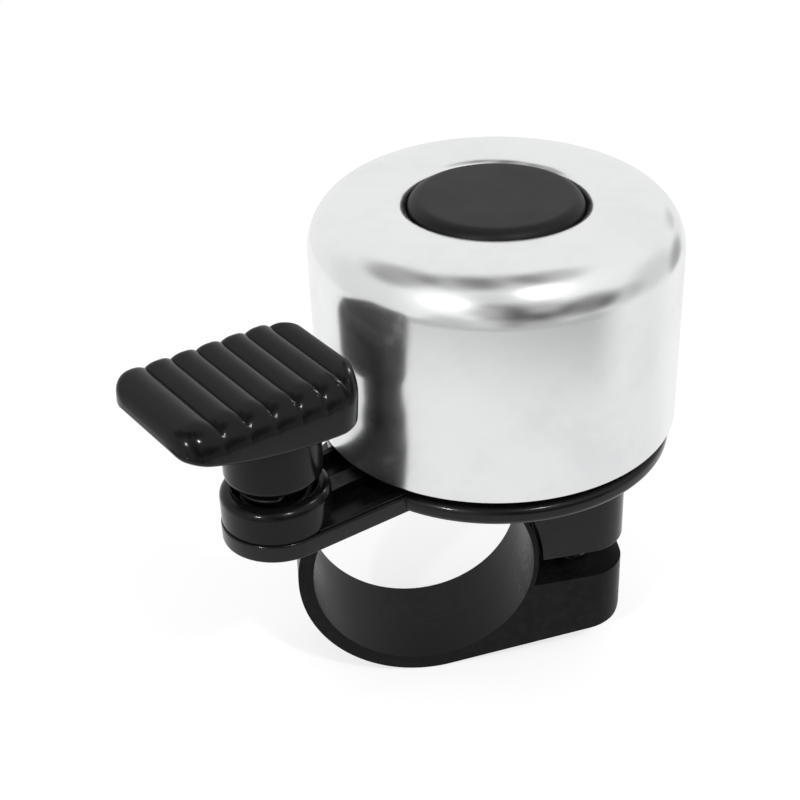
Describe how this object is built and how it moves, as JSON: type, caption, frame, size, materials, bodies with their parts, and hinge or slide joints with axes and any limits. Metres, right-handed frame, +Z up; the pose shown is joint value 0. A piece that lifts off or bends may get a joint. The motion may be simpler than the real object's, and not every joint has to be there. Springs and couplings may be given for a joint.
{
  "type": "bicycle bell",
  "caption": "Thumb-lever bicycle bell: bright round dome with a black cap over a spring-returned hammer, on a black base with a screw-tightened split clamp for a handlebar.",
  "frame": {"origin": "centre of the handlebar clamp's bore, halfway along its width", "axes": "+Y along the handlebar, +X towards the clamp screw, +Z up to the dome"},
  "size_m": [0.0518, 0.0418, 0.0509],
  "materials": {
    "base_plastic": "black moulded plastic with a soft gloss",
    "lever_plastic": "black moulded plastic, glossy with soft edges",
    "cap_plastic": "dark grey matte plastic",
    "dome_metal": "polished, close to a mirror",
    "screw_steel": "zinc-plated steel",
    "hammer_steel": "plain turned steel",
    "spring_steel": "blackened spring steel",
    "nylon": "natural nylon"
  },
  "bodies": {
    "base": {"base_plate": "base_plastic", "pivot_cup": "lever_plastic", "clamp_nut": "screw_steel", "centre_post": "hammer_steel", "dome_bush": "nylon", "dome": "dome_metal", "dome_washer": "screw_steel", "dome_screw": "screw_steel", "cap_button": "cap_plastic", "thrust_washer": "nylon", "return_spring": "spring_steel"},
    "lever": {"thumb_lever": "lever_plastic", "lever_screw": "screw_steel", "lever_washer": "screw_steel", "hammer_arm": "spring_steel", "hammer": "hammer_steel", "hammer_rivet": "hammer_steel"},
    "strap": {"clamp_strap": "base_plastic", "clamp_washer": "screw_steel"},
    "screw": {"clamp_screw": "screw_steel"}
  },
  "joints": [
    {"name": "lever_swing", "type": "hinge", "parent": "base", "child": "lever", "pos_m": [-0.01381, -0.0141, 0.0141], "axis": [0, 0, -1], "range_deg": [0, 17], "stiffness_Nm_per_rad": 0.01, "springref_deg": -14.32, "deforming": ["return_spring"]},
    {"name": "strap_swing", "type": "hinge", "parent": "base", "child": "strap", "pos_m": [-0.0064, 0, 0.00913], "axis": [0, -1, 0], "range_deg": [0, 1.5]},
    {"name": "screw_turn", "type": "hinge", "parent": "strap", "child": "screw", "pos_m": [0.01605, 0, 0], "axis": [0, 0, 1], "range_deg": [0, 300]}
  ],
  "couplings": [
    {"joint": "strap_swing", "follows": "screw_turn", "ratio": 0.005}
  ]
}
